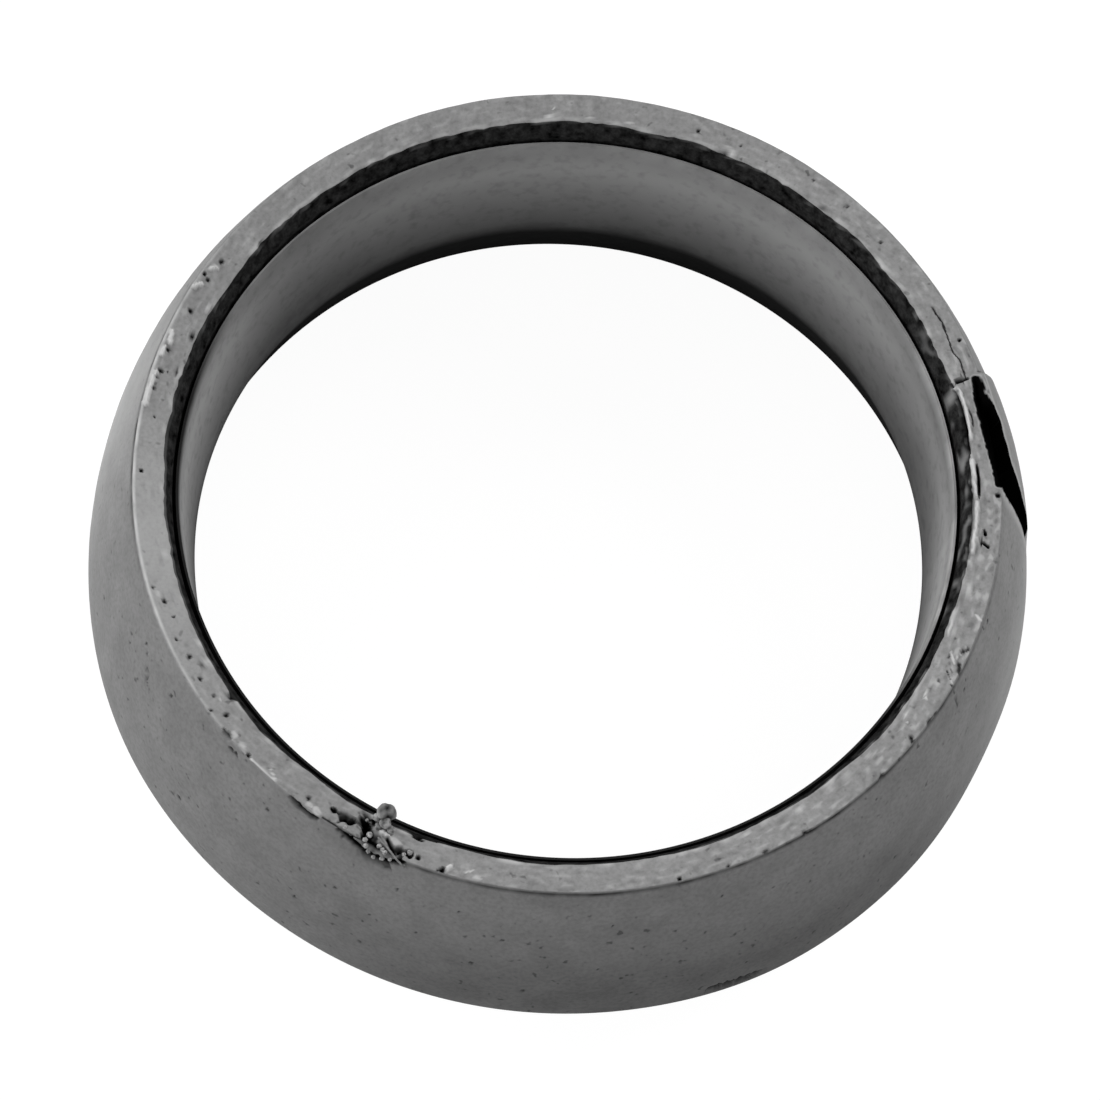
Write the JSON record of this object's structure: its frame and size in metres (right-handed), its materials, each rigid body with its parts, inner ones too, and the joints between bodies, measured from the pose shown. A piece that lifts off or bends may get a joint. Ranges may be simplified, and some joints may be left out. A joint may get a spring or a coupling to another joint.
{
  "type": "exhaust gasket",
  "caption": "Ring gasket for a ball-and-cone exhaust joint: bulging conical outer wall, straight bore with a flared mouth, flat land at the narrow end, worn and torn in places.",
  "frame": {"origin": "on the ring's axis, in the plane of the flat seat face at the wide end", "axes": "+Z along the ring's axis, from the wide seat end to the narrow nose; the torn skin is near +X"},
  "size_m": [0.0656, 0.0656, 0.0211],
  "materials": {
    "pressed_graphite_mesh": "matte grey, graphite pressed into knitted steel wire, dusty and worn bright at the edges"
  },
  "bodies": {
    "root": {"seal_ring": "pressed_graphite_mesh"}
  },
  "joints": []
}
